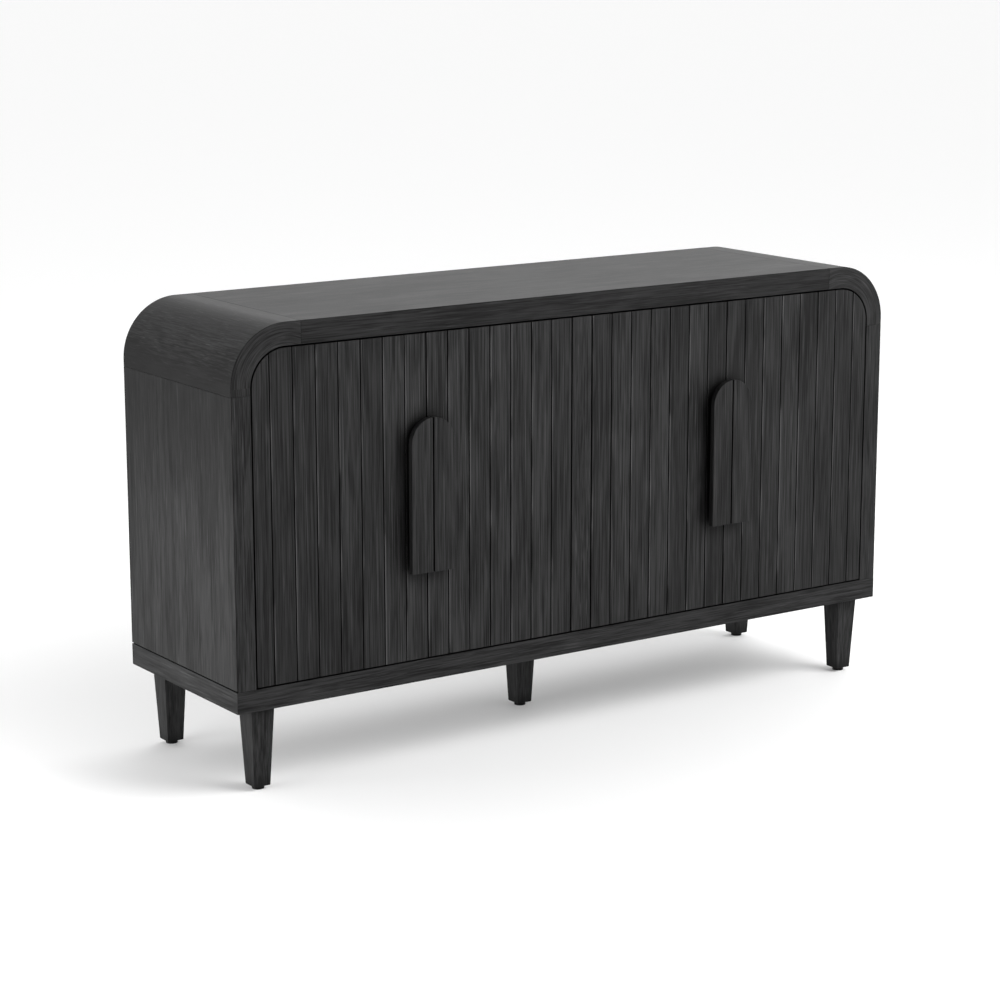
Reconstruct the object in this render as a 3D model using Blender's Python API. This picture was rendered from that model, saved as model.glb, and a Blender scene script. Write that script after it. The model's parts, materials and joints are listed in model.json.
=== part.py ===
"""Sideboard buffet with rounded top corners and four slatted doors.

Metres, +Z up. +X is to the right along the front, and the front faces -Y. The origin is on the floor,
in the middle of the box that holds the cabinet and its handles.
"""
import math

import bmesh
import bpy
from mathutils import Vector

# Cabinet
WIDTH = 1.524
DEPTH = 0.416
HEIGHT = 0.864
CORNER_RADIUS = 0.112
SHELL_THICKNESS = 0.022
CORNER_TAIL_DOWN = 0.011  # straight length of a corner piece, below its arc
CORNER_TAIL_IN = 0.032  # straight length of a corner piece, along the top
ARC_STEPS = 24

# Face frame round the doors
FRAME_DEPTH = 0.022
FRAME_SIDE = 0.039
FRAME_TOP = 0.043
OPENING_RADIUS = 0.072

# Base frame, which the legs carry
BASE_HEIGHT = 0.041
BASE_RAIL_WIDTH = 0.064
BOTTOM_THICKNESS = 0.018
BOTTOM_LEDGE = 0.010

# Inside
BACK_THICKNESS = 0.006
BACK_RECESS = 0.004
PARTITION_THICKNESS = 0.018
SHELF_THICKNESS = 0.018
SHELF_SETBACK = 0.045  # behind the doors
SHELF_HEIGHT = 0.300  # underside, above the bottom panel
CLEAT_WIDTH = 0.018
CLEAT_HEIGHT = 0.018
CLEAT_LENGTH = 0.220

# Doors: a row of slats, mirrored about the fixed middle one
SLAT_PITCH = 0.0472
DOOR_THICKNESS = 0.020
DOOR_GAP = 0.0032  # round the doors
LEAF_GAP = 0.0030  # between two leaves, and beside the middle slat
GROOVE_WIDTH = 0.0024
GROOVE_DEPTH = 0.005

# Handles: an arch over the gap between two doors, in two halves
HANDLE_HALF_WIDTH = SLAT_PITCH
HANDLE_HEIGHT = 0.292
HANDLE_RISE = 0.008  # its middle, above the middle of the opening
HANDLE_THICKNESS = 0.012
FINGER_DEPTH = 0.0115
HANDLE_RIB_WIDTH = 0.017
HANDLE_RIB_END = 0.030  # the rib stops short of the handle's ends

# Concealed hinges
CUP_RADIUS = 0.0175
CUP_DEPTH = 0.0115
CUP_SETBACK = 0.0225  # centre, in from the door's edge
FLANGE_THICKNESS = 0.0015
FLANGE_WIDTH = 0.012
FLANGE_LENGTH = 0.056
ARM_THICKNESS = 0.008
ARM_HEIGHT = 0.014
ARM_LENGTH = 0.062
HINGE_INSET = 0.112  # centre, in from the door's ends

# Legs
LEG_HEIGHT = 0.158
LEG_TOP = 0.048
LEG_FOOT = 0.0335
LEG_INSET_SIDE = 0.0595
LEG_INSET_FRONT = 0.0385
GLIDE_RADIUS = 0.0115
GLIDE_HEIGHT = 0.0065

SEAM = 0.0003  # between pieces that touch
MITRE_GAP = 0.0004
POCKET_GAP = 0.0003
LINE_WIDTH = 0.0005  # the mitre opens this much more at the front, as a fine dark line
LINE_DEPTH = 0.0030
SIDE_LINE_HEIGHT = 0.0018  # shadow line between each side panel and its base rail
SIDE_LINE_DEPTH = 0.0040
OVERCUT = 0.010  # how far a cutter runs past the face that it opens

# Places that follow from the sizes
HANDLE_PROUD = FINGER_DEPTH + HANDLE_THICKNESS
FRONT_Y = (HANDLE_PROUD - DEPTH) / 2
BACK_Y = FRONT_Y + DEPTH
MIDDLE_Y = (FRONT_Y + BACK_Y) / 2
HALF_WIDTH = WIDTH / 2
BASE_TOP = LEG_HEIGHT + BASE_HEIGHT
FRAME_BACK_Y = FRONT_Y + FRAME_DEPTH
DOOR_BACK_Y = FRONT_Y + DOOR_THICKNESS
BACK_PANEL_Y = BACK_Y - BACK_RECESS - BACK_THICKNESS
OPENING_TOP = HEIGHT - FRAME_TOP
DOOR_BOTTOM = BASE_TOP + DOOR_GAP
DOOR_TOP = OPENING_TOP - DOOR_GAP
HANDLE_Z = (BASE_TOP + OPENING_TOP) / 2 + HANDLE_RISE
SIDE_FACE = HALF_WIDTH - SHELL_THICKNESS
SHELF_Z = BASE_TOP + SHELF_HEIGHT
CORNER_DROP = max(CORNER_RADIUS, FRAME_TOP + OPENING_RADIUS) + CORNER_TAIL_DOWN
CORNER_RUN = max(CORNER_RADIUS, FRAME_SIDE + OPENING_RADIUS) + CORNER_TAIL_IN

# Each side of the middle slat has whole slats and a last one that fills up to the frame.
DOOR_EDGE_X = HALF_WIDTH - FRAME_SIDE - DOOR_GAP
SLATS_EACH_SIDE = round((DOOR_EDGE_X - SLAT_PITCH / 2) / SLAT_PITCH)
SLATS_INNER_DOOR = SLATS_EACH_SIDE // 2
MEETING_X = (SLATS_INNER_DOOR + 0.5) * SLAT_PITCH

# Colour, roughness, metallic
DARK_WOOD = ((0.040, 0.040, 0.041), 0.62, 0.0)
INNER_WOOD = ((0.050, 0.048, 0.046), 0.70, 0.0)
STEEL = ((0.55, 0.55, 0.56), 0.35, 1.0)
PLASTIC = ((0.012, 0.012, 0.012), 0.50, 0.0)


def clear_scene():
    for thing in list(bpy.data.objects):
        bpy.data.objects.remove(thing, do_unlink=True)


def make_collection(name):
    made = bpy.data.collections.new(name)
    bpy.context.scene.collection.children.link(made)
    return made


def set_material(piece, kind):
    """Give a piece a material of its own, named for the piece."""
    colour, roughness, metallic = kind
    material = bpy.data.materials.new(piece.name)
    material.use_nodes = True
    shader = material.node_tree.nodes["Principled BSDF"]
    shader.inputs["Base Color"].default_value = (*colour, 1.0)
    shader.inputs["Roughness"].default_value = roughness
    shader.inputs["Metallic"].default_value = metallic
    piece.data.materials.clear()
    piece.data.materials.append(material)


def place(mesh, name, kind, parent, location=(0, 0, 0)):
    piece = bpy.data.objects.new(name, mesh)
    PIECES.objects.link(piece)
    piece.location = Vector(location)
    if parent is not None:
        piece.parent = parent
        piece.location = Vector(location) - parent.location
    set_material(piece, kind)
    return piece


def box_mesh(name, size):
    mesh = bpy.data.meshes.new(name)
    shape = bmesh.new()
    bmesh.ops.create_cube(shape, size=1.0)
    bmesh.ops.scale(shape, vec=size, verts=shape.verts)
    shape.to_mesh(mesh)
    shape.free()
    return mesh


def box(name, low, high, kind, parent=None):
    """A block between two opposite corners, in world coordinates."""
    size = [top - bottom for bottom, top in zip(low, high)]
    middle = [(top + bottom) / 2 for bottom, top in zip(low, high)]
    return place(box_mesh(name, size), name, kind, parent, middle)


def round_mesh(name, radius, length, axis, sides=32):
    """A closed cylinder along Y or Z, centred on its origin."""
    mesh = bpy.data.meshes.new(name)
    shape = bmesh.new()
    bmesh.ops.create_cone(shape, cap_ends=True, segments=sides, radius1=radius, radius2=radius, depth=length)
    if axis == "Y":
        for vertex in shape.verts:
            vertex.co = Vector((vertex.co.x, -vertex.co.z, vertex.co.y))
    shape.to_mesh(mesh)
    shape.free()
    return mesh


def outline_mesh(name, outline, thickness, plane):
    """Extrude a flat outline, drawn in plan (XY) or on the front (XZ), about its own plane."""
    curve = bpy.data.curves.new(name, "CURVE")
    curve.dimensions = "2D"
    curve.fill_mode = "BOTH"
    curve.extrude = thickness / 2
    spline = curve.splines.new("POLY")
    spline.points.add(len(outline) - 1)
    for point, (across, along) in zip(spline.points, outline):
        point.co = (across, along, 0.0, 1.0)
    spline.use_cyclic_u = True
    drawn = bpy.data.objects.new(name, curve)
    PIECES.objects.link(drawn)
    seen = drawn.evaluated_get(bpy.context.evaluated_depsgraph_get())
    mesh = bpy.data.meshes.new_from_object(seen)
    bpy.data.objects.remove(drawn, do_unlink=True)
    shape = bmesh.new()
    shape.from_mesh(mesh)
    bmesh.ops.remove_doubles(shape, verts=shape.verts, dist=0.00001)
    if plane == "XZ":
        for vertex in shape.verts:
            vertex.co = Vector((vertex.co.x, -vertex.co.z, vertex.co.y))
    bmesh.ops.recalc_face_normals(shape, faces=shape.faces)
    shape.to_mesh(mesh)
    shape.free()
    return mesh


def loft_mesh(name, sections):
    """A closed solid through a row of sections with equally many corners."""
    mesh = bpy.data.meshes.new(name)
    shape = bmesh.new()
    rings = [[shape.verts.new(corner) for corner in section] for section in sections]
    corners = len(rings[0])
    for ring, following in zip(rings, rings[1:]):
        for corner in range(corners):
            after = (corner + 1) % corners
            shape.faces.new((ring[corner], ring[after], following[after], following[corner]))
    shape.faces.new(rings[0])
    shape.faces.new(rings[-1])
    bmesh.ops.recalc_face_normals(shape, faces=shape.faces)
    shape.to_mesh(mesh)
    shape.free()
    return mesh


def cut(piece, cutters):
    """Take every cutter in a list of meshes and places out of a piece."""
    group = bpy.data.collections.new(piece.name + "_cutters")
    CUTTERS.children.link(group)
    for number, (mesh, location) in enumerate(cutters):
        cutter = bpy.data.objects.new(f"{piece.name}_cutter_{number}", mesh)
        group.objects.link(cutter)
        cutter.location = Vector(location)
        cutter.hide_render = True
        cutter.display_type = "WIRE"
    carve = piece.modifiers.new("cuts", "BOOLEAN")
    carve.operation = "DIFFERENCE"
    carve.solver = "EXACT"
    carve.operand_type = "COLLECTION"
    carve.collection = group


def join(piece, mesh, location):
    """Add one more solid to a piece, as part of the same body."""
    added = bpy.data.objects.new(piece.name + "_added", mesh)
    CUTTERS.objects.link(added)
    added.location = Vector(location)
    added.hide_render = True
    added.display_type = "WIRE"
    union = piece.modifiers.new("joined", "BOOLEAN")
    union.operation = "UNION"
    union.solver = "EXACT"
    union.object = added


# ---- Shell and face frame: sections swept up the side, round the corner and along the top ----


def side_corner(side, inset, y, z):
    """A corner of a section that lies flat, on the upright side."""
    return (side * (HALF_WIDTH - inset), y, z)


def outer_line(inset, y):
    """A corner of a section that runs beside the outer edge."""
    return (inset, inset, CORNER_RADIUS - inset, y)


def frame_lines():
    """Corners of the face frame's section: side inset, top inset, corner radius, depth."""
    slope = SHELL_THICKNESS / FRAME_DEPTH
    line_end = LINE_DEPTH * slope
    return [
        outer_line(LINE_WIDTH, FRONT_Y),
        (FRAME_SIDE, FRAME_TOP, OPENING_RADIUS, FRONT_Y),
        (FRAME_SIDE, FRAME_TOP, OPENING_RADIUS, FRAME_BACK_Y),
        outer_line(SHELL_THICKNESS, FRAME_BACK_Y),
        outer_line(line_end, FRONT_Y + LINE_DEPTH),
        outer_line(line_end + LINE_WIDTH, FRONT_Y + LINE_DEPTH),
    ]


def shell_lines():
    """Corners of the shell's section, which meets the face frame in a mitre."""
    return [
        outer_line(0.0, FRONT_Y + MITRE_GAP),
        outer_line(SHELL_THICKNESS, FRAME_BACK_Y + MITRE_GAP),
        outer_line(SHELL_THICKNESS, BACK_Y),
        outer_line(0.0, BACK_Y),
    ]


def upright(name, lines, side):
    sections = []
    for z in (BASE_TOP + SEAM, HEIGHT - CORNER_DROP - SEAM):
        sections.append([side_corner(side, inset, y, z) for inset, _, _, y in lines])
    return place(loft_mesh(name, sections), name, DARK_WOOD, None)


def cut_side_line(panel, side):
    """Rebate a side panel's outer lower edge, so that a dark line shows above the base rail."""
    size = (SIDE_LINE_DEPTH + OVERCUT, DEPTH + 2 * OVERCUT, SIDE_LINE_HEIGHT + OVERCUT)
    middle = (
        side * (HALF_WIDTH - SIDE_LINE_DEPTH + size[0] / 2),
        MIDDLE_Y,
        BASE_TOP + SEAM + SIDE_LINE_HEIGHT - size[2] / 2,
    )
    cut(panel, [(box_mesh(panel.name + "_line", size), middle)])


def crosspiece(name, lines):
    sections = []
    reach = HALF_WIDTH - CORNER_RUN - SEAM
    for x in (-reach, reach):
        sections.append([(x, y, HEIGHT - inset) for _, inset, _, y in lines])
    place(loft_mesh(name, sections), name, DARK_WOOD, None)


def corner_piece(name, lines, side):
    sections = [[side_corner(side, inset, y, HEIGHT - CORNER_DROP) for inset, _, _, y in lines]]
    for step in range(ARC_STEPS + 1):
        turn = math.radians(90) * step / ARC_STEPS
        section = []
        for side_inset, top_inset, radius, y in lines:
            x = HALF_WIDTH - side_inset - radius + radius * math.cos(turn)
            z = HEIGHT - top_inset - radius + radius * math.sin(turn)
            section.append((side * x, y, z))
        sections.append(section)
    reach = HALF_WIDTH - CORNER_RUN
    sections.append([(side * reach, y, HEIGHT - inset) for _, inset, _, y in lines])
    place(loft_mesh(name, sections), name, DARK_WOOD, None)


def build_shell():
    for word, side in (("left", -1), ("right", 1)):
        cut_side_line(upright("side_panel_" + word, shell_lines(), side), side)
        upright("stile_" + word, frame_lines(), side)
        corner_piece("corner_shell_" + word, shell_lines(), side)
        corner_piece("frame_corner_" + word, frame_lines(), side)
    crosspiece("top_panel", shell_lines())
    crosspiece("top_rail", frame_lines())


def arch_outline(half_width, bottom, top, radius):
    """An upright rectangle with both top corners rounded, from bottom left round to bottom right."""
    outline = [(half_width, bottom)]
    for step in range(ARC_STEPS + 1):
        turn = math.radians(90) * step / ARC_STEPS
        across = half_width - radius + radius * math.cos(turn)
        outline.append((across, top - radius + radius * math.sin(turn)))
    return outline + [(-across, z) for across, z in reversed(outline)]


# ---- Base frame, bottom, back and inside ----


def build_base():
    middle_z = (LEG_HEIGHT + BASE_TOP) / 2
    inner_x = HALF_WIDTH - BASE_RAIL_WIDTH
    inner_y = DEPTH / 2 - BASE_RAIL_WIDTH
    long_rail = [
        (-HALF_WIDTH, -DEPTH / 2),
        (HALF_WIDTH, -DEPTH / 2),
        (inner_x, -inner_y),
        (-inner_x, -inner_y),
    ]
    end_rail = [
        (HALF_WIDTH, -DEPTH / 2 + MITRE_GAP),
        (HALF_WIDTH, DEPTH / 2 - MITRE_GAP),
        (inner_x, inner_y - MITRE_GAP),
        (inner_x, -inner_y + MITRE_GAP),
    ]
    outlines = {
        "base_rail_front": long_rail,
        "base_rail_back": [(x, -y) for x, y in long_rail],
        "base_rail_right": end_rail,
        "base_rail_left": [(-x, y) for x, y in end_rail],
    }
    rails = []
    for name, outline in outlines.items():
        mesh = outline_mesh(name, outline, BASE_HEIGHT, "XY")
        rails.append(place(mesh, name, DARK_WOOD, None, (0, MIDDLE_Y, middle_z)))
    cross_low = (-BASE_RAIL_WIDTH / 2, MIDDLE_Y - inner_y + SEAM, LEG_HEIGHT)
    cross_high = (BASE_RAIL_WIDTH / 2, MIDDLE_Y + inner_y - SEAM, BASE_TOP)
    rails.append(box("base_cross_rail", cross_low, cross_high, INNER_WOOD))

    # The bottom panel drops into a rebate in the rails, flush with their tops.
    panel_x = inner_x + BOTTOM_LEDGE
    panel_y = inner_y + BOTTOM_LEDGE
    rebate_size = (2 * panel_x, 2 * panel_y, BOTTOM_THICKNESS + OVERCUT)
    rebate_z = BASE_TOP - BOTTOM_THICKNESS + rebate_size[2] / 2
    for rail in rails:
        cut(rail, [(box_mesh("rebate", rebate_size), (0, MIDDLE_Y, rebate_z))])
    low = (-panel_x + SEAM, MIDDLE_Y - panel_y + SEAM, BASE_TOP - BOTTOM_THICKNESS + SEAM)
    high = (panel_x - SEAM, MIDDLE_Y + panel_y - SEAM, BASE_TOP)
    box("bottom_panel", low, high, INNER_WOOD)


def build_inside():
    inner_top = HEIGHT - SHELL_THICKNESS
    radius = CORNER_RADIUS - SHELL_THICKNESS
    outline = arch_outline(SIDE_FACE - SEAM, BASE_TOP + SEAM, inner_top - SEAM, radius - SEAM)
    mesh = outline_mesh("back_panel", outline, BACK_THICKNESS, "XZ")
    place(mesh, "back_panel", INNER_WOOD, None, (0, BACK_PANEL_Y + BACK_THICKNESS / 2, 0))

    half = PARTITION_THICKNESS / 2
    low = (-half, FRAME_BACK_Y + SEAM, BASE_TOP + SEAM)
    high = (half, BACK_PANEL_Y - SEAM, inner_top - SEAM)
    box("partition", low, high, INNER_WOOD)

    shelf_front = DOOR_BACK_Y + SHELF_SETBACK
    cleat_middle = (shelf_front + BACK_PANEL_Y) / 2
    for word, side in (("left", -1), ("right", 1)):
        edges = sorted((side * (half + SEAM), side * (SIDE_FACE - SEAM)))
        low = (edges[0], shelf_front, SHELF_Z)
        high = (edges[1], BACK_PANEL_Y - SEAM, SHELF_Z + SHELF_THICKNESS)
        box("shelf_" + word, low, high, INNER_WOOD)
        for where, near, far in (
            ("inner", half + SEAM, half + SEAM + CLEAT_WIDTH),
            ("outer", SIDE_FACE - SEAM, SIDE_FACE - SEAM - CLEAT_WIDTH),
        ):
            edges = sorted((side * near, side * far))
            low = (edges[0], cleat_middle - CLEAT_LENGTH / 2, SHELF_Z - SEAM - CLEAT_HEIGHT)
            high = (edges[1], cleat_middle + CLEAT_LENGTH / 2, SHELF_Z - SEAM)
            box(f"shelf_cleat_{word}_{where}", low, high, INNER_WOOD)


# ---- Doors, handles and hinges ----


def door_outline(low_x, high_x, rounded):
    """A leaf's front; rounded is -1 or 1 for the side with the round top corner, or 0 for none."""
    if rounded == 0:
        return [(low_x, DOOR_BOTTOM), (high_x, DOOR_BOTTOM), (high_x, DOOR_TOP), (low_x, DOOR_TOP)]
    radius = OPENING_RADIUS - DOOR_GAP
    edge, meeting = (high_x, low_x) if rounded > 0 else (low_x, high_x)
    outline = [(meeting, DOOR_BOTTOM), (edge, DOOR_BOTTOM)]
    for step in range(ARC_STEPS + 1):
        turn = math.radians(90) * step / ARC_STEPS
        x = edge - rounded * radius * (1 - math.cos(turn))
        outline.append((x, DOOR_TOP - radius + radius * math.sin(turn)))
    return outline + [(meeting, DOOR_TOP)]


def groove_places(low_x, high_x):
    """Middles of the grooves between the slats of one leaf."""
    margin = SLAT_PITCH / 4
    lines = [side * (number + 0.5) * SLAT_PITCH for side in (-1, 1) for number in range(SLATS_EACH_SIDE)]
    return [x for x in sorted(lines) if low_x + margin < x < high_x - margin]


def door(number, low_x, high_x, rounded, hinge_side, pivot):
    name = f"door_{number}"
    mesh = outline_mesh(name, door_outline(low_x, high_x, rounded), DOOR_THICKNESS, "XZ")
    leaf = place(mesh, name, DARK_WOOD, pivot, (0, FRONT_Y + DOOR_THICKNESS / 2, 0))
    cutters = []
    groove_size = (GROOVE_WIDTH, 2 * GROOVE_DEPTH, DOOR_TOP - DOOR_BOTTOM + 2 * OVERCUT)
    middle_z = (DOOR_BOTTOM + DOOR_TOP) / 2
    for x in groove_places(low_x, high_x):
        cutters.append((box_mesh("groove", groove_size), (x, FRONT_Y, middle_z)))
    cup_x = (high_x if hinge_side > 0 else low_x) - hinge_side * CUP_SETBACK
    pocket = CUP_DEPTH + POCKET_GAP
    for _, z in hinge_heights():
        mesh = round_mesh("pocket", CUP_RADIUS + POCKET_GAP, 2 * pocket, "Y")
        cutters.append((mesh, (cup_x, DOOR_BACK_Y, z)))
    cut(leaf, cutters)
    return cup_x


def hinge_heights():
    return (("lower", DOOR_BOTTOM + HINGE_INSET), ("upper", DOOR_TOP - HINGE_INSET))


def hinge(number, word, z, cup_x, hinge_side, panel_face, pivot):
    """A cup with its flange in the door's back, and an arm on the panel beside it."""
    name = f"hinge_cup_{number}_{word}"
    flange_y = DOOR_BACK_Y + SEAM + FLANGE_THICKNESS / 2
    cup_length = flange_y - DOOR_BACK_Y + CUP_DEPTH
    cup = place(round_mesh(name, CUP_RADIUS, cup_length, "Y"), name, STEEL, pivot,
                (cup_x, flange_y - cup_length / 2, z))
    flange = box_mesh(name + "_flange", (FLANGE_WIDTH, FLANGE_THICKNESS, FLANGE_LENGTH))
    join(cup, flange, (cup_x, flange_y, z))

    name = f"hinge_arm_{number}_{word}"
    near_y = max(FRAME_BACK_Y, DOOR_BACK_Y + SEAM + FLANGE_THICKNESS) + SEAM
    inward = -hinge_side
    base_x = panel_face + inward * SEAM
    tip_x = cup_x + inward * FLANGE_WIDTH / 2
    outline = [
        (base_x, near_y),
        (tip_x, near_y),
        (tip_x, near_y + ARM_THICKNESS),
        (base_x + inward * ARM_THICKNESS, near_y + ARM_THICKNESS),
        (base_x + inward * ARM_THICKNESS, near_y + ARM_LENGTH),
        (base_x, near_y + ARM_LENGTH),
    ]
    place(outline_mesh(name, outline, ARM_HEIGHT, "XY"), name, STEEL, None, (0, 0, z))


def handle(number, meeting_x, side, pivot):
    """One half of an arched pull: a plate that stands off the leaf on a rib at its inner edge."""
    name = f"handle_{number}"
    bottom = HANDLE_Z - HANDLE_HEIGHT / 2
    top = HANDLE_Z + HANDLE_HEIGHT / 2
    inner = LEAF_GAP / 2
    start = math.acos(inner / HANDLE_HALF_WIDTH)
    outline = [(meeting_x + side * inner, bottom), (meeting_x + side * HANDLE_HALF_WIDTH, bottom)]
    for step in range(ARC_STEPS + 1):
        turn = start * step / ARC_STEPS
        across = HANDLE_HALF_WIDTH * math.cos(turn)
        z = top - HANDLE_HALF_WIDTH + HANDLE_HALF_WIDTH * math.sin(turn)
        outline.append((meeting_x + side * across, z))
    mesh = outline_mesh(name, outline, HANDLE_THICKNESS, "XZ")
    plate_y = FRONT_Y - HANDLE_PROUD + HANDLE_THICKNESS / 2
    plate = place(mesh, name, DARK_WOOD, pivot, (0, plate_y, 0))
    rib_front = plate_y
    rib_size = (HANDLE_RIB_WIDTH, FRONT_Y - SEAM - rib_front, HANDLE_HEIGHT - 2 * HANDLE_RIB_END)
    rib_x = meeting_x + side * (inner + HANDLE_RIB_WIDTH / 2)
    join(plate, box_mesh(name + "_rib", rib_size), (rib_x, rib_front + rib_size[1] / 2, HANDLE_Z))


def make_pivot(number, x):
    """The upright axis that a door turns on, in the plane of the front."""
    pivot = bpy.data.objects.new(f"door_pivot_{number}", None)
    PIECES.objects.link(pivot)
    pivot.location = Vector((x, FRONT_Y, BASE_TOP))
    return pivot


def build_doors():
    inner_edge = SLAT_PITCH / 2 + LEAF_GAP / 2
    outer_axis = DOOR_EDGE_X + DOOR_GAP / 2
    partition_face = PARTITION_THICKNESS / 2
    # number, inner edge, outer edge, side of the cabinet, hinged at the outer edge
    for number, near, far, side, at_outer in (
        (1, MEETING_X + LEAF_GAP / 2, DOOR_EDGE_X, -1, True),
        (2, inner_edge, MEETING_X - LEAF_GAP / 2, -1, False),
        (3, inner_edge, MEETING_X - LEAF_GAP / 2, 1, False),
        (4, MEETING_X + LEAF_GAP / 2, DOOR_EDGE_X, 1, True),
    ):
        low_x, high_x = sorted((side * near, side * far))
        hinge_side = side if at_outer else -side
        pivot = make_pivot(number, side * (outer_axis if at_outer else SLAT_PITCH / 2))
        cup_x = door(number, low_x, high_x, side if at_outer else 0, hinge_side, pivot)
        panel_face = side * (SIDE_FACE if at_outer else partition_face)
        for word, z in hinge_heights():
            hinge(number, word, z, cup_x, hinge_side, panel_face, pivot)
        handle(number, side * MEETING_X, hinge_side, pivot)

    half = SLAT_PITCH / 2 - LEAF_GAP / 2
    box("centre_stile", (-half, FRONT_Y, DOOR_BOTTOM), (half, FRAME_BACK_Y, DOOR_TOP), DARK_WOOD)


# ---- Legs ----


def leg(name, x, y):
    low = GLIDE_HEIGHT + SEAM
    high = LEG_HEIGHT - SEAM
    bpy.ops.mesh.primitive_cone_add(
        vertices=4, radius1=LEG_FOOT / math.sqrt(2), radius2=LEG_TOP / math.sqrt(2), depth=high - low,
        location=(x, y, (low + high) / 2), rotation=(0, 0, math.radians(45)))
    post = bpy.context.active_object
    for holder in list(post.users_collection):
        holder.objects.unlink(post)
    PIECES.objects.link(post)
    post.name = "leg_" + name
    set_material(post, DARK_WOOD)
    glide = "glide_" + name
    place(round_mesh(glide, GLIDE_RADIUS, GLIDE_HEIGHT, "Z"), glide, PLASTIC, None, (x, y, GLIDE_HEIGHT / 2))


def build_legs():
    across = HALF_WIDTH - LEG_INSET_SIDE
    for word, y in (("front", FRONT_Y + LEG_INSET_FRONT), ("back", BACK_Y - LEG_INSET_FRONT)):
        leg(word + "_left", -across, y)
        leg(word + "_right", across, y)
    leg("centre", 0, MIDDLE_Y)


clear_scene()
PIECES = make_collection("sideboard_buffet")
CUTTERS = make_collection("cutters")
build_shell()
build_base()
build_inside()
build_doors()
build_legs()
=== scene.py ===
"""Looks of the sideboard buffet: wire-brushed charcoal wood, hinges, floor, light and camera.

Metres, +Z up. +X is to the right along the front, and the front faces -Y. The pieces' places and sizes come
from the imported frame.
"""
import json
import math

import bmesh
import bpy
from mathutils import Matrix, Vector


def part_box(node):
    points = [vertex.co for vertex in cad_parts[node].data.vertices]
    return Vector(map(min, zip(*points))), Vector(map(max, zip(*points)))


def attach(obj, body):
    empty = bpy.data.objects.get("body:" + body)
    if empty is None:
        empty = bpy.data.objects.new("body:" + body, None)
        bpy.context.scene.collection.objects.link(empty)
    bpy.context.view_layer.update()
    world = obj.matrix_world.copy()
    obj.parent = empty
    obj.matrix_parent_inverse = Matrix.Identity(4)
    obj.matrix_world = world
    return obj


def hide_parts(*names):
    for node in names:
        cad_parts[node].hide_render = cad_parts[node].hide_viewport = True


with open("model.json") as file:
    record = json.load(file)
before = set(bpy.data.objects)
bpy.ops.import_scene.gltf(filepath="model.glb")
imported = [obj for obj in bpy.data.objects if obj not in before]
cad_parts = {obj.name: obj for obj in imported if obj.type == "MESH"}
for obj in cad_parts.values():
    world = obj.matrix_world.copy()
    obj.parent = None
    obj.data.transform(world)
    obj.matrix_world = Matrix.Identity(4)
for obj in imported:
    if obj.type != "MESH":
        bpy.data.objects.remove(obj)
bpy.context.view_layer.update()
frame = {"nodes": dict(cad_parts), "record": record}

NODES = frame["nodes"]
BODIES = frame["record"]["behaviour"]["bodies"]
BODY_OF = {node: body for body, nodes in BODIES.items() for node in nodes}
SLOT_OF = {part["node"]: part["material_slot"] for part in frame["record"]["subparts"]}


def low(node):
    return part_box(node)[0]


def high(node):
    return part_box(node)[1]


# Sizes from the frame
FRONT_Y = low("centre_stile").y
TOP_Z = high("top_panel").z
SLAT_PITCH = high("centre_stile").x - high("door_2").x
CORNER_RADIUS = 0.112  # outer bend of the shell, as the CAD has it

# ---------------------------------------------------------------- materials

# Wood colour
WOOD_ALBEDO = 0.0158
BLUE_SHARE = 1.015  # blue against red and green
SHADE_LIMIT = 4.0  # the palest that the grain can make a spot, against the plain colour
SLAT_TONES = (0.82, 1.18)
INNER_FINISH = {"contrast": 0.40, "tone": 1.25}

# Wood grain: noise that changes this often in a metre, and each layer's share of the pattern
CLOUDS_ALONG = 5
CLOUDS_ACROSS = 24
STREAKS_ACROSS = 270
FIBRES_ACROSS = 620
FLECKS_ACROSS = 300
CLOUDS_SHARE = 0.22
STREAKS_SHARE = 0.42
FIBRES_SHARE = 0.36
GRAIN_STRETCH = 6.0  # streaks in a metre along a board
GRAIN_DEPTH = 0.78  # how far the tone swings round 1
GRAIN_RANGE = (0.38, 0.62)  # of the pattern, between the darkest tone and the palest
FLECK_RANGE = (0.59, 0.70)
FLECK_STRENGTH = 0.9

# Wood surface
GLOSS = 0.11
WOOD_ROUGHNESS = (0.36, 0.64, 0.52, 0.68)  # two values of the pattern, and the roughness at each
RELIEF_STRENGTH = 0.35
RELIEF_DEPTH = 0.0006
STREAK_RELIEF = 0.7
FIBRE_RELIEF = 0.3

# Painted shade from an occlusion node, in grooves and beside what stands proud: reach, the openness between
# which it fades, and the tone in the deepest
PAINTED_SHADE_REACH = 0.036
PAINTED_SHADE_SAMPLES = 4
PAINTED_SHADE_RANGE = (0.45, 0.98)
PAINTED_SHADE_TONE = 0.05

# Painted highlight on each slat's left edge, in patches: two places across a slat, in slats from its middle,
# and how much paler it is at each. Then the values of the clouds between which a patch starts.
PAINTED_EDGE_HIGHLIGHT = (-0.45, -0.41, 2.4, 0.0)
EDGE_HIGHLIGHT_PATCHES = (0.40, 0.60)

# Steel and plastic: noise that changes this often in a metre along x, y and z, and roughness that follows it
STEEL_COLOUR = (0.56, 0.56, 0.57, 1.0)
STEEL_MARKS = (260, 260, 2600)
STEEL_ROUGHNESS = (0.3, 0.7, 0.24, 0.38)
PLASTIC_COLOUR = (0.004, 0.004, 0.004, 1.0)
PLASTIC_TEXTURE = (1400, 1400, 1400)
PLASTIC_ROUGHNESS = (0.3, 0.7, 0.42, 0.55)


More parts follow.
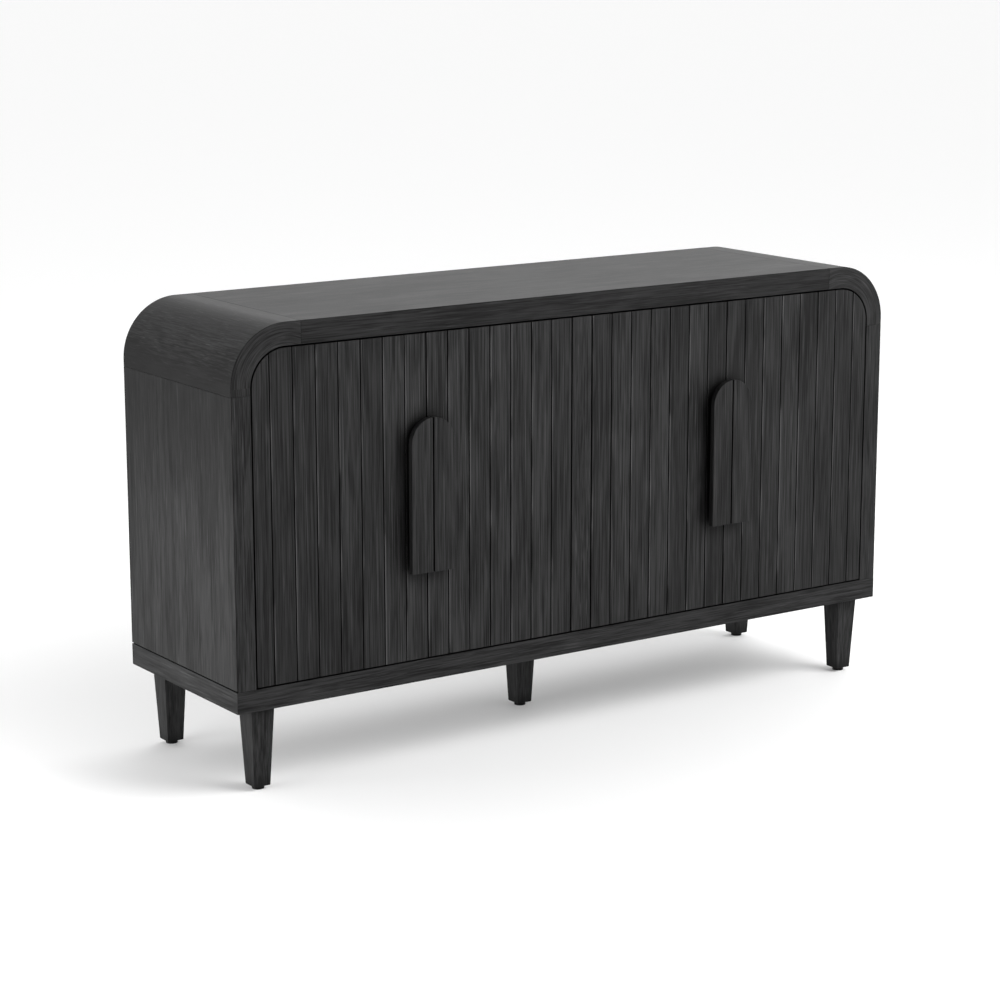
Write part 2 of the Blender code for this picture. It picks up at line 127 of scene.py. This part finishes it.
class Graph:
    """A material's nodes, with short calls to add and join them."""

    def __init__(self, name):
        self.material = bpy.data.materials.new(name)
        self.material.use_nodes = True
        self.tree = self.material.node_tree
        self.shader = self.tree.nodes["Principled BSDF"]

    def add(self, kind, **settings):
        node = self.tree.nodes.new(kind)
        for key, value in settings.items():
            setattr(node, key, value)
        return node

    def join(self, source, target):
        self.tree.links.new(source, target)

    def set(self, **values):
        """Set the shader's own sockets, with underscores for the spaces in their names."""
        for key, value in values.items():
            self.shader.inputs[key.replace("_", " ")].default_value = value

    def place(self):
        """The object's own coordinates."""
        return self.add("ShaderNodeTexCoord").outputs["Object"]

    def split(self):
        """The object's own coordinates, one by one."""
        node = self.add("ShaderNodeSeparateXYZ")
        self.join(self.place(), node.inputs["Vector"])
        return node.outputs

    def mapping(self, scale, offset=(0, 0, 0)):
        node = self.add("ShaderNodeMapping")
        node.inputs["Scale"].default_value = scale
        node.inputs["Location"].default_value = offset
        self.join(self.place(), node.inputs["Vector"])
        return node.outputs["Vector"]

    def noise(self, vector, detail=3.0, roughness=0.55, distortion=0.0):
        node = self.add("ShaderNodeTexNoise")
        node.inputs["Scale"].default_value = 1.0
        node.inputs["Detail"].default_value = detail
        node.inputs["Roughness"].default_value = roughness
        node.inputs["Distortion"].default_value = distortion
        self.join(vector, node.inputs["Vector"])
        return node.outputs["Fac"]

    def ramp(self, value, start, end, first=0.0, last=1.0):
        """Ease from the first value to the last, as the input goes from start to end."""
        node = self.add("ShaderNodeMapRange", interpolation_type="SMOOTHSTEP")
        node.inputs["From Min"].default_value = start
        node.inputs["From Max"].default_value = end
        node.inputs["To Min"].default_value = first
        node.inputs["To Max"].default_value = last
        self.join(value, node.inputs["Value"])
        return node.outputs["Result"]

    def math(self, operation, first, second=0.0):
        """One sum, whose terms are sockets or plain numbers."""
        node = self.add("ShaderNodeMath", operation=operation)
        for socket, value in zip(node.inputs, (first, second)):
            if isinstance(value, (int, float)):
                socket.default_value = value
            else:
                self.join(value, socket)
        return node.outputs["Value"]

    def blend(self, first, *others):
        """Add up layers, each a socket and its share."""
        total = self.math("MULTIPLY", *first)
        for layer in others:
            total = self.math("ADD", total, self.math("MULTIPLY", *layer))
        return total

    def mix(self, factor, first, second):
        """Blend two plain (r, g, b) colours."""
        node = self.add("ShaderNodeMix", data_type="RGBA")
        colours = [socket for socket in node.inputs if socket.type == "RGBA"]
        self.join(factor, node.inputs["Factor"])
        for socket, colour in zip(colours, (first, second)):
            socket.default_value = (*colour, 1.0)
        return next(socket for socket in node.outputs if socket.type == "RGBA")

    def painted_shade(self):
        """Painted shade: 1 on an open face, falling towards its darkest tone in grooves and beside what
        stands proud.
        """
        node = self.add("ShaderNodeAmbientOcclusion", samples=PAINTED_SHADE_SAMPLES)
        node.inputs["Distance"].default_value = PAINTED_SHADE_REACH
        return self.ramp(node.outputs["AO"], *PAINTED_SHADE_RANGE, PAINTED_SHADE_TONE, 1.0)

    def bump(self, height, strength, distance):
        node = self.add("ShaderNodeBump")
        node.inputs["Strength"].default_value = strength
        node.inputs["Distance"].default_value = distance
        self.join(height, node.inputs["Height"])
        self.join(node.outputs["Normal"], self.shader.inputs["Normal"])


def straight_grain(graph, axis, along, across, offset):
    """Noise coordinates that change seldom along one axis and often across it."""
    scale = [across, across, across]
    scale["XYZ".index(axis)] = along
    return graph.mapping(scale, offset)


def curved_grain(graph, centre, along, across, offset):
    """Noise coordinates whose grain runs round a centre in the front view."""
    shift = graph.add("ShaderNodeVectorMath", operation="SUBTRACT")
    graph.join(graph.place(), shift.inputs[0])
    shift.inputs[1].default_value = centre
    split = graph.add("ShaderNodeSeparateXYZ")
    graph.join(shift.outputs["Vector"], split.inputs["Vector"])
    x, y, z = split.outputs
    radius = graph.math("SQRT", graph.math("ADD", graph.math("MULTIPLY", x, x), graph.math("MULTIPLY", z, z)))
    angle = graph.math("ARCTAN2", z, x)
    bent = graph.add("ShaderNodeCombineXYZ")
    graph.join(graph.math("MULTIPLY", radius, across), bent.inputs["X"])
    graph.join(graph.math("MULTIPLY", y, across), bent.inputs["Y"])
    graph.join(graph.math("MULTIPLY", angle, along * CORNER_RADIUS), bent.inputs["Z"])
    moved = graph.add("ShaderNodeVectorMath", operation="ADD")
    graph.join(bent.outputs["Vector"], moved.inputs[0])
    moved.inputs[1].default_value = offset
    return moved.outputs["Vector"]


def slat_tones(graph, shade, seed, clouds):
    """Give each slat a tone of its own and a painted highlight on its left edge."""
    across = graph.math("DIVIDE", graph.split()["X"], SLAT_PITCH)
    slat = graph.math("ROUND", across)
    chance = graph.add("ShaderNodeTexWhiteNoise", noise_dimensions="1D")
    graph.join(graph.math("ADD", slat, seed), chance.inputs["W"])
    shade = graph.math("MULTIPLY", shade, graph.ramp(chance.outputs["Value"], 0.0, 1.0, *SLAT_TONES))
    # Painted highlight along each slat's left edge, in patches
    edge = graph.ramp(graph.math("SUBTRACT", across, slat), *PAINTED_EDGE_HIGHLIGHT)
    painted_highlight = graph.math("MULTIPLY", edge, graph.ramp(clouds, *EDGE_HIGHLIGHT_PATCHES))
    return graph.math("MULTIPLY", shade, graph.math("ADD", painted_highlight, 1.0))


def wood(name, axis, seed, tone=1.0, slats=False, centre=None, painted_height_shade=None, stretch=GRAIN_STRETCH,
         contrast=1.0):
    """Wire-brushed charcoal wood.

    The grain runs along one axis of the object, or round a centre. tone scales the colour. slats gives each
    slat its own tone and a painted highlight on its left edge. fade is (height, height, tone, tone), painted
    shade that makes a board darker or paler towards one end. stretch is how often the streaks change in a
    metre of board, and contrast is how strongly they show.
    """
    graph = Graph(name)
    offset = (seed * 3.17 % 7, seed * 1.93 % 5, seed * 2.41 % 6)  # a different stretch of noise for each

    def grain(along, across, **settings):
        if centre:
            vector = curved_grain(graph, centre, along, across, offset)
        else:
            vector = straight_grain(graph, axis, along, across, offset)
        return graph.noise(vector, **settings)

    clouds = grain(CLOUDS_ALONG, CLOUDS_ACROSS, detail=2, distortion=0.7)
    streaks = grain(stretch, STREAKS_ACROSS, detail=3, roughness=0.62)
    fibres = grain(3 * stretch, FIBRES_ACROSS, detail=2, roughness=0.6)
    flecks = grain(2 * stretch, FLECKS_ACROSS, detail=2, roughness=0.55)
    pattern = graph.blend((clouds, CLOUDS_SHARE), (streaks, STREAKS_SHARE), (fibres, FIBRES_SHARE))
    swing = GRAIN_DEPTH * contrast
    shade = graph.ramp(pattern, *GRAIN_RANGE, 1.0 - swing, 1.0 + swing)
    shade = graph.math("ADD", shade, graph.ramp(flecks, *FLECK_RANGE, 0.0, FLECK_STRENGTH * contrast))
    if slats:
        shade = slat_tones(graph, shade, seed, clouds)
    # Painted shade: darker or paler up the board, as light falls on it
    if painted_height_shade:
        shade = graph.math("MULTIPLY", shade, graph.ramp(graph.split()["Z"], *painted_height_shade))
    # Painted shade in grooves and beside what stands proud, multiplied into the colour
    shade = graph.math("MULTIPLY", shade, graph.painted_shade())

    palest = SHADE_LIMIT * WOOD_ALBEDO * tone
    factor = graph.math("MULTIPLY", shade, 1 / SHADE_LIMIT)
    colour = graph.mix(factor, (0.0, 0.0, 0.0), (palest, palest, palest * BLUE_SHARE))
    graph.join(colour, graph.shader.inputs["Base Color"])
    graph.join(graph.ramp(pattern, *WOOD_ROUGHNESS), graph.shader.inputs["Roughness"])
    graph.set(Specular_IOR_Level=GLOSS)
    relief = graph.blend((streaks, STREAK_RELIEF), (fibres, FIBRE_RELIEF))
    graph.bump(relief, RELIEF_STRENGTH, RELIEF_DEPTH)
    return graph.material


def steel(name):
    """Nickel-plated steel with fine rolling marks."""
    graph = Graph(name)
    marks = graph.noise(graph.mapping(STEEL_MARKS), detail=3)
    graph.set(Base_Color=STEEL_COLOUR, Metallic=1.0)
    graph.join(graph.ramp(marks, *STEEL_ROUGHNESS), graph.shader.inputs["Roughness"])
    graph.bump(marks, strength=0.15, distance=0.0002)
    return graph.material


def plastic(name):
    """Black moulded plastic with a fine texture."""
    graph = Graph(name)
    texture = graph.noise(graph.mapping(PLASTIC_TEXTURE), detail=2)
    graph.set(Base_Color=PLASTIC_COLOUR, Specular_IOR_Level=0.1)
    graph.join(graph.ramp(texture, *PLASTIC_ROUGHNESS), graph.shader.inputs["Roughness"])
    graph.bump(texture, strength=0.2, distance=0.0003)
    return graph.material


# ---------------------------------------------------------------- pieces that stay as the CAD has them

# Grain direction of each board whose grain isn't upright
GRAIN = {
    "top_panel": "X",
    "top_rail": "X",
    "base_rail_front": "X",
    "base_rail_back": "X",
    "base_rail_left": "Y",
    "base_rail_right": "Y",
    "corner_shell_left": "Y",
    "corner_shell_right": "Y",
    "bottom_panel": "X",
    "shelf_left": "X",
    "shelf_right": "X",
    "base_cross_rail": "Y",
}
# Painted shade up a board, darker where less light falls: two heights above the floor, and the tone at each
CORNER_PAINTED_SHADE = (0.745, 0.83, 0.40, 1.42)
SIDE_PAINTED_SHADE = (0.42, 0.70, 1.04, 0.62)
CORNER_FINISH = {"painted_height_shade": CORNER_PAINTED_SHADE, "stretch": 11.0}
SIDE_FINISH = {"painted_height_shade": SIDE_PAINTED_SHADE}
SLAT_STRETCH = 3.5
BEND_Z = TOP_Z - CORNER_RADIUS
# Finish of a node or of a family of nodes, where it differs from plain upright wood
FINISH = {
    "door": {"slats": True, "stretch": SLAT_STRETCH},
    "handle": {"stretch": SLAT_STRETCH, "tone": 0.93},
    "top_rail": {"tone": 0.68},
    "top_panel": {"tone": 0.94},
    "corner_shell_left": CORNER_FINISH,
    "corner_shell_right": CORNER_FINISH,
    "frame_corner_left": {"centre": (low("corner_shell_left").x + CORNER_RADIUS, FRONT_Y, BEND_Z)},
    "frame_corner_right": {"centre": (high("corner_shell_right").x - CORNER_RADIUS, FRONT_Y, BEND_Z)},
    "side_panel_left": SIDE_FINISH,
    "side_panel_right": SIDE_FINISH,
}
# Bevel of each family of nodes
EDGE = {"leg": 0.0012, "handle": 0.0010, "glide": 0.0012, "hinge": 0.0004, "shelf": 0.0008}
FINE_EDGE = 0.0005  # every other family
WELD_DISTANCE = 0.00002
CAD_EDGE_ANGLE = 20  # degrees, at which an edge counts as sharp
DETAIL_EDGE_ANGLE = 40


def round_edges(piece, width, angle):
    """Bevel the edges that turn by more than an angle, and shade the rest smooth."""
    bevel = piece.modifiers.new("edges", "BEVEL")
    bevel.width = width
    bevel.segments = 2
    bevel.limit_method = "ANGLE"
    bevel.angle_limit = math.radians(angle)
    piece.data.shade_smooth()
    normals = piece.modifiers.new("normals", "WEIGHTED_NORMAL")
    normals.keep_sharp = False


def dress(node, seed):
    """Give a CAD solid its material and broken edges. Its faces come in unwelded."""
    piece = NODES[node]
    family = node.split("_")[0]
    if family == "hinge":
        material = steel(node)
    elif family == "glide":
        material = plastic(node)
    elif SLOT_OF[node] == "inner_wood":
        material = wood(node, GRAIN.get(node, "Z"), seed, **INNER_FINISH)
    else:
        material = wood(node, GRAIN.get(node, "Z"), seed, **FINISH.get(node, FINISH.get(family, {})))
    piece.data.materials.clear()
    piece.data.materials.append(material)
    weld = piece.modifiers.new("weld", "WELD")
    weld.merge_threshold = WELD_DISTANCE
    round_edges(piece, EDGE.get(family, FINE_EDGE), CAD_EDGE_ANGLE)


for number, node in enumerate(sorted(NODES)):
    dress(node, number + 1)

# ---------------------------------------------------------------- concealed hinges

RING_SIDES = 48
SCREW_SIDES = 24

# Pan head screw: outlines of the head and the socket, as shares of their radius and of the dome's height
SCREW_RADIUS = 0.0031
SOCKET_RADIUS = 0.0013
SCREW_DOME = 0.0009
HEAD_OUTLINE = ((0.0, 0.0), (1.0, 0.0), (1.0, 0.35), (0.78, 0.85))
SOCKET_OUTLINE = ((1.15, 1.0), (1.0, 0.9), (0.8, 0.2), (0.0, 0.2))

# Cup
CUP_RIM = 0.0016
CUP_RIM_RISE = 0.5 * SCREW_DOME
CUP_WALL_FOOT = 2.4  # rim widths, in from the outside
CUP_FLOOR_EDGE = 3.2  # the same
CUP_FLOOR = 0.0020
CUP_FILLET = 0.0010  # from the floor up to the wall's foot
CUP_EDGE = 0.0003
WING_WIDTH = 0.012
WING_THICKNESS = 0.6 * SCREW_DOME
WING_SEAT = 0.0148  # where a wing starts, out from the cup's centre
WING_SCREW = 0.0218  # out from the cup's centre

# Arm
LEFT_HINGED_DOORS = (1, 3)
ARM_THICKNESS = 0.008 - SCREW_DOME  # the CAD arm's, less the screw heads that stand on it
ARM_CORNER = 0.0045
ARM_SETBACK = 0.0022  # of the arm's edges, from those of its foot
ARM_FOOT_START = 3 * ARM_CORNER
ARM_FOOT_SHARE = 0.35  # of the arm's thickness
ARM_SCREWS = (0.020, 0.050)  # back from the arm's near end
ARM_EDGE = 0.0004


def lathe(shape, profile, centre, axis, sides):
    """A closed solid of revolution. profile lists (radius, distance along the axis) from end to end."""
    along = Vector(axis)
    first = along.orthogonal().normalized()
    second = along.cross(first)
    rings = []
    for radius, distance in profile:
        middle = centre + along * distance
        if radius == 0.0:
            rings.append([shape.verts.new(middle)])
            continue
        ring = []
        for step in range(sides):
            turn = math.tau * step / sides
            out = first * math.cos(turn) + second * math.sin(turn)
            ring.append(shape.verts.new(middle + out * radius))
        rings.append(ring)
    for lower, upper in zip(rings, rings[1:]):
        for step in range(sides):
            nearby = (step + 1) % sides
            if len(lower) == 1:
                shape.faces.new((lower[0], upper[step], upper[nearby]))
            elif len(upper) == 1:
                shape.faces.new((lower[nearby], lower[step], upper[0]))
            else:
                shape.faces.new((lower[step], upper[step], upper[nearby], lower[nearby]))


def screw(shape, centre, axis):
    """A pan head with a round socket, its underside at the centre."""
    head = [(SCREW_RADIUS * across, SCREW_DOME * along) for across, along in HEAD_OUTLINE]
    socket = [(SOCKET_RADIUS * across, SCREW_DOME * along) for across, along in SOCKET_OUTLINE]
    lathe(shape, head + socket, centre, axis, SCREW_SIDES)


def plate(shape, outline, start, depth):
    """An outline of points, moved to a start and pushed along a vector."""
    lower = [shape.verts.new(Vector(point) + start) for point in outline]
    upper = [shape.verts.new(vertex.co + depth) for vertex in lower]
    shape.faces.new(lower)
    shape.faces.new(reversed(upper))
    for step, vertex in enumerate(lower):
        nearby = (step + 1) % len(lower)
        shape.faces.new((vertex, upper[step], upper[nearby], lower[nearby]))


def finish_piece(name, shape, node, edge):
    """Turn a shape into a piece that stands for a CAD node and moves with its body."""
    bmesh.ops.recalc_face_normals(shape, faces=shape.faces)
    mesh = bpy.data.meshes.new(name)
    shape.to_mesh(mesh)
    shape.free()
    piece = bpy.data.objects.new(name, mesh)
    bpy.context.scene.collection.objects.link(piece)
    piece.data.materials.append(steel(name))
    round_edges(piece, edge, DETAIL_EDGE_ANGLE)
    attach(piece, BODY_OF[node])
    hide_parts(node)


def hinge_cup(node):
    """A pressed cup with a rim and a hollow, and two wings, each with its screw."""
    bottom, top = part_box(node)
    middle = (bottom + top) / 2
    radius = (top.x - bottom.x) / 2
    wing_reach = (top.z - bottom.z) / 2
    back = Vector((0, 1, 0))
    face = top.y - SCREW_DOME
    depth = face - bottom.y
    shape = bmesh.new()
    lathe(shape, (
        (0.0, 0.0),
        (radius, 0.0),
        (radius, depth),
        (radius - CUP_RIM, depth + CUP_RIM_RISE),
        (radius - 2 * CUP_RIM, depth),
        (radius - CUP_WALL_FOOT * CUP_RIM, CUP_FLOOR + CUP_FILLET),
        (radius - CUP_FLOOR_EDGE * CUP_RIM, CUP_FLOOR),
        (0.0, CUP_FLOOR),
    ), Vector((middle.x, bottom.y, middle.z)), back, RING_SIDES)
    half = WING_WIDTH / 2
    for side in (-1, 1):
        outline = [(-half, 0, side * WING_SEAT), (half, 0, side * WING_SEAT)]
        for step in range(SCREW_SIDES // 2 + 1):
            turn = math.pi * step / (SCREW_SIDES // 2)
            z = wing_reach - half + half * math.sin(turn)
            outline.append((half * math.cos(turn), 0, side * z))
        start = Vector((middle.x, face - WING_THICKNESS, middle.z))
        plate(shape, outline, start, back * WING_THICKNESS)
        screw(shape, Vector((middle.x, face, middle.z + side * WING_SCREW)), back)
    finish_piece(node + "_detail", shape, node, CUP_EDGE)


def hinge_arm(node):
    """A bent arm on a thinner, wider foot, which two screws hold to the panel beside it."""
    bottom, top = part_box(node)
    door = int(node.split("_")[2])
    inward = 1 if door in LEFT_HINGED_DOORS else -1
    base, tip = (bottom.x, top.x) if inward == 1 else (top.x, bottom.x)
    height = top.z - bottom.z
    face = base + inward * ARM_THICKNESS
    outline = [(base, bottom.y, 0), (tip, bottom.y, 0), (tip, bottom.y + ARM_THICKNESS, 0)]
    for step in range(SCREW_SIDES // 4 + 1):
        turn = math.radians(90) * step / (SCREW_SIDES // 4)
        x = face + inward * ARM_CORNER * (1 - math.sin(turn))
        y = bottom.y + ARM_THICKNESS + ARM_CORNER * (1 - math.cos(turn))
        outline.append((x, y, 0))
    outline += [(face, top.y, 0), (base, top.y, 0)]
    shape = bmesh.new()
    start = Vector((0, 0, bottom.z + ARM_SETBACK))
    plate(shape, outline, start, Vector((0, 0, height - 2 * ARM_SETBACK)))

    foot_x = base + inward * ARM_THICKNESS * ARM_FOOT_SHARE
    foot_y = bottom.y + ARM_FOOT_START
    foot = [(base, foot_y, 0), (foot_x, foot_y, 0), (foot_x, top.y, 0), (base, top.y, 0)]
    plate(shape, foot, Vector((0, 0, bottom.z)), Vector((0, 0, height)))
    for back in ARM_SCREWS:
        place = Vector((face, bottom.y + back, (bottom.z + top.z) / 2))
        screw(shape, place, Vector((inward, 0, 0)))
    finish_piece(node + "_detail", shape, node, ARM_EDGE)


for node in sorted(NODES):
    if node.startswith("hinge_cup"):
        hinge_cup(node)
    elif node.startswith("hinge_arm"):
        hinge_arm(node)

# ---------------------------------------------------------------- floor, light and camera

FLOOR_SIZE = 240
FLOOR_ALBEDO = 0.85
# Distances from the middle of the floor between which its own light rises, and its strength at each
BACKDROP = (0.8, 2.2, 0.13, 0.245)
# Sky: axis, start and end of the rise along it, strength at the end
SKY = (
    ("Y", -0.1, 0.8, 1.22),
    ("X", 0.1, 0.9, 1.98),
    ("Y", -0.1, -0.9, 0.40),
)
# Name, place, aim, width, height, watts
LAMPS = (
    ("lamp_left", (-1.95, 0.0, 0.22), (-0.76, 0.0, 0.22), 1.0, 0.35, 20.0),
    ("lamp_behind", (0.0, 1.8, 2.2), (0.0, 0.0, 0.6), 2.6, 1.0, 5.0),
    ("lamp_right", (4.2, -3.6, 1.3), (0.0, FRONT_Y, 0.5), 1.6, 2.2, 8.0),
    ("lamp_above", (2.4, -2.9, 3.7), (0.0, FRONT_Y, 0.4), 3.2, 3.2, 186.0),
)
CAMERA_PLACE = (-3.035, -4.362, 1.585)
CAMERA_YAW = 34.33  # degrees, turned to the right from looking along +Y
CAMERA_PITCH = 12.31  # degrees down
CAMERA_ROLL = -0.055  # degrees
CAMERA_LENS = 98.3  # millimetres
SENSOR_WIDTH = 36.0
CLIP_END = 500


def make_floor():
    bpy.ops.mesh.primitive_plane_add(size=FLOOR_SIZE)
    floor = bpy.context.active_object
    floor.name = "floor"
    graph = Graph("floor")
    graph.set(Base_Color=(FLOOR_ALBEDO, FLOOR_ALBEDO, FLOOR_ALBEDO, 1.0), Roughness=1.0)
    graph.set(Specular_IOR_Level=0.0, Emission_Color=(1.0, 1.0, 1.0, 1.0))
    distance = graph.add("ShaderNodeVectorMath", operation="LENGTH")
    graph.join(graph.place(), distance.inputs[0])
    glow = graph.ramp(distance.outputs["Value"], *BACKDROP)
    graph.join(glow, graph.shader.inputs["Emission Strength"])
    floor.data.materials.append(graph.material)


def make_world():
    """A soft white studio whose walls differ in brightness."""
    world = bpy.data.worlds.new("studio")
    bpy.context.scene.world = world
    world.use_nodes = True
    tree = world.node_tree
    sky = tree.nodes["Background"].inputs
    sky["Color"].default_value = (1.0, 1.0, 1.0, 1.0)
    where = tree.nodes.new("ShaderNodeTexCoord")
    split = tree.nodes.new("ShaderNodeSeparateXYZ")
    tree.links.new(where.outputs["Generated"], split.inputs["Vector"])
    walls = []
    for axis, start, end, strength in SKY:
        wall = tree.nodes.new("ShaderNodeMapRange")
        wall.interpolation_type = "SMOOTHSTEP"
        wall.inputs["From Min"].default_value = start
        wall.inputs["From Max"].default_value = end
        wall.inputs["To Max"].default_value = strength
        tree.links.new(split.outputs[axis], wall.inputs["Value"])
        walls.append(wall.outputs["Result"])
    total = walls[0]
    for wall in walls[1:]:
        add = tree.nodes.new("ShaderNodeMath")
        add.operation = "ADD"
        tree.links.new(wall, add.inputs[0])
        tree.links.new(total, add.inputs[1])
        total = add.outputs["Value"]
    tree.links.new(total, sky["Strength"])


def make_lamps():
    for name, place, aim, width, height, watts in LAMPS:
        data = bpy.data.lights.new(name, "AREA")
        data.shape = "RECTANGLE"
        data.size = width
        data.size_y = height
        data.energy = watts
        lamp = bpy.data.objects.new(name, data)
        bpy.context.scene.collection.objects.link(lamp)
        lamp.location = place
        lamp.rotation_euler = (Vector(aim) - Vector(place)).to_track_quat("-Z", "Y").to_euler()
        lamp.visible_camera = False


def make_camera():
    data = bpy.data.cameras.new("camera")
    data.sensor_width = SENSOR_WIDTH
    data.lens = CAMERA_LENS
    data.clip_end = CLIP_END
    camera = bpy.data.objects.new("camera", data)
    bpy.context.scene.collection.objects.link(camera)
    yaw = Matrix.Rotation(math.radians(-CAMERA_YAW), 4, "Z")
    pitch = Matrix.Rotation(math.radians(90 - CAMERA_PITCH), 4, "X")
    roll = Matrix.Rotation(math.radians(CAMERA_ROLL), 4, "Z")
    camera.matrix_world = Matrix.Translation(CAMERA_PLACE) @ yaw @ pitch @ roll
    bpy.context.scene.camera = camera


make_floor()
make_world()
make_lamps()
make_camera()
bpy.context.scene.view_settings.view_transform = "Standard"
